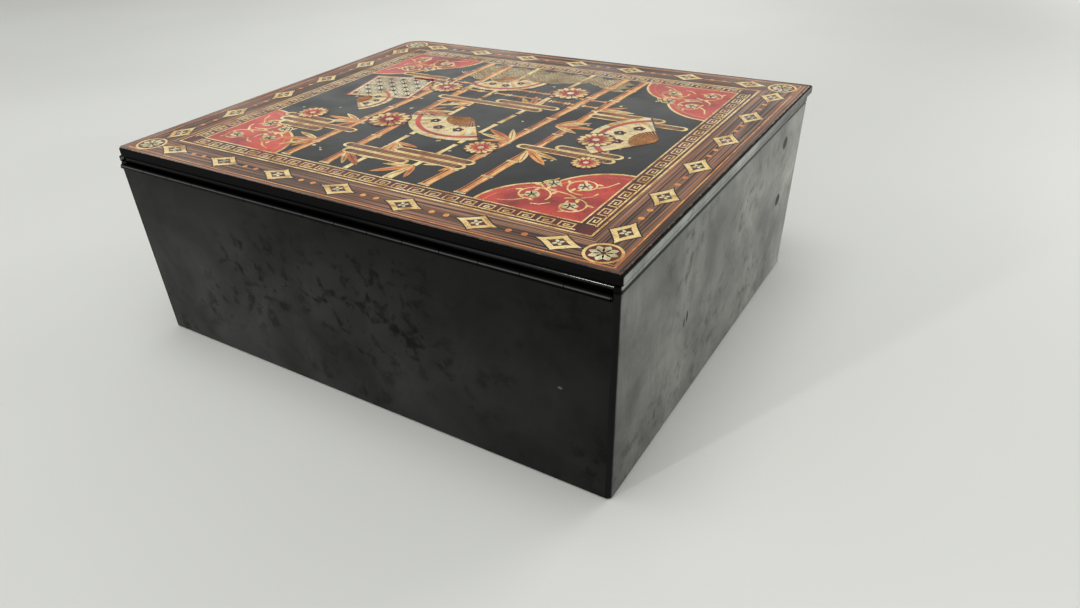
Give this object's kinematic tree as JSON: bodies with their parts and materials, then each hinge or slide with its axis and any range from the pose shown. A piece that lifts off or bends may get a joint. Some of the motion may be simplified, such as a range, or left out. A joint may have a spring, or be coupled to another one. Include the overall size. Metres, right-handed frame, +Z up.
{
  "type": "papier-mache box",
  "caption": "Black japanned papier-mache box with a flat hinged lid, a printed picture sheet on top and a full-length hinge behind.",
  "frame": {"origin": "centre of the object's footprint, on the table", "axes": "+Z up, +X along the long side, front at -Y and hinge at +Y"},
  "size_m": [0.2408, 0.2108, 0.0913],
  "materials": {
    "japanned_board": "black japan lacquer over laminated paper board, rubbed to a soft gloss",
    "lining_paper": "matt dark red lining paper",
    "picture_sheet": "varnished printed paper",
    "japanned_brass": "brass leaves lacquered black with the box",
    "hinge_wire": "drawn steel wire",
    "brass_nails": "small countersunk brass nails"
  },
  "bodies": {
    "box": {"front_wall": "japanned_board", "rear_wall": "japanned_board", "left_wall": "japanned_board", "right_wall": "japanned_board", "bottom_panel": "japanned_board", "floor_lining": "lining_paper", "front_lining": "lining_paper", "rear_lining": "lining_paper", "left_lining": "lining_paper", "right_lining": "lining_paper", "hinge_box_leaf": "japanned_brass", "hinge_pin": "hinge_wire", "box_leaf_nails": "brass_nails"},
    "lid": {"lid_board": "japanned_board", "lid_print": "picture_sheet", "lid_front_rail": "japanned_board", "lid_rear_rail": "japanned_board", "lid_left_rail": "japanned_board", "lid_right_rail": "japanned_board", "lid_lining": "lining_paper", "hinge_lid_leaf": "japanned_brass", "lid_leaf_nails": "brass_nails"}
  },
  "joints": [
    {"name": "lid_hinge", "type": "hinge", "parent": "box", "child": "lid", "pos_m": [0, 0.10422, 0.0837], "axis": [-1, 0, 0], "range_deg": [0, 180]}
  ]
}
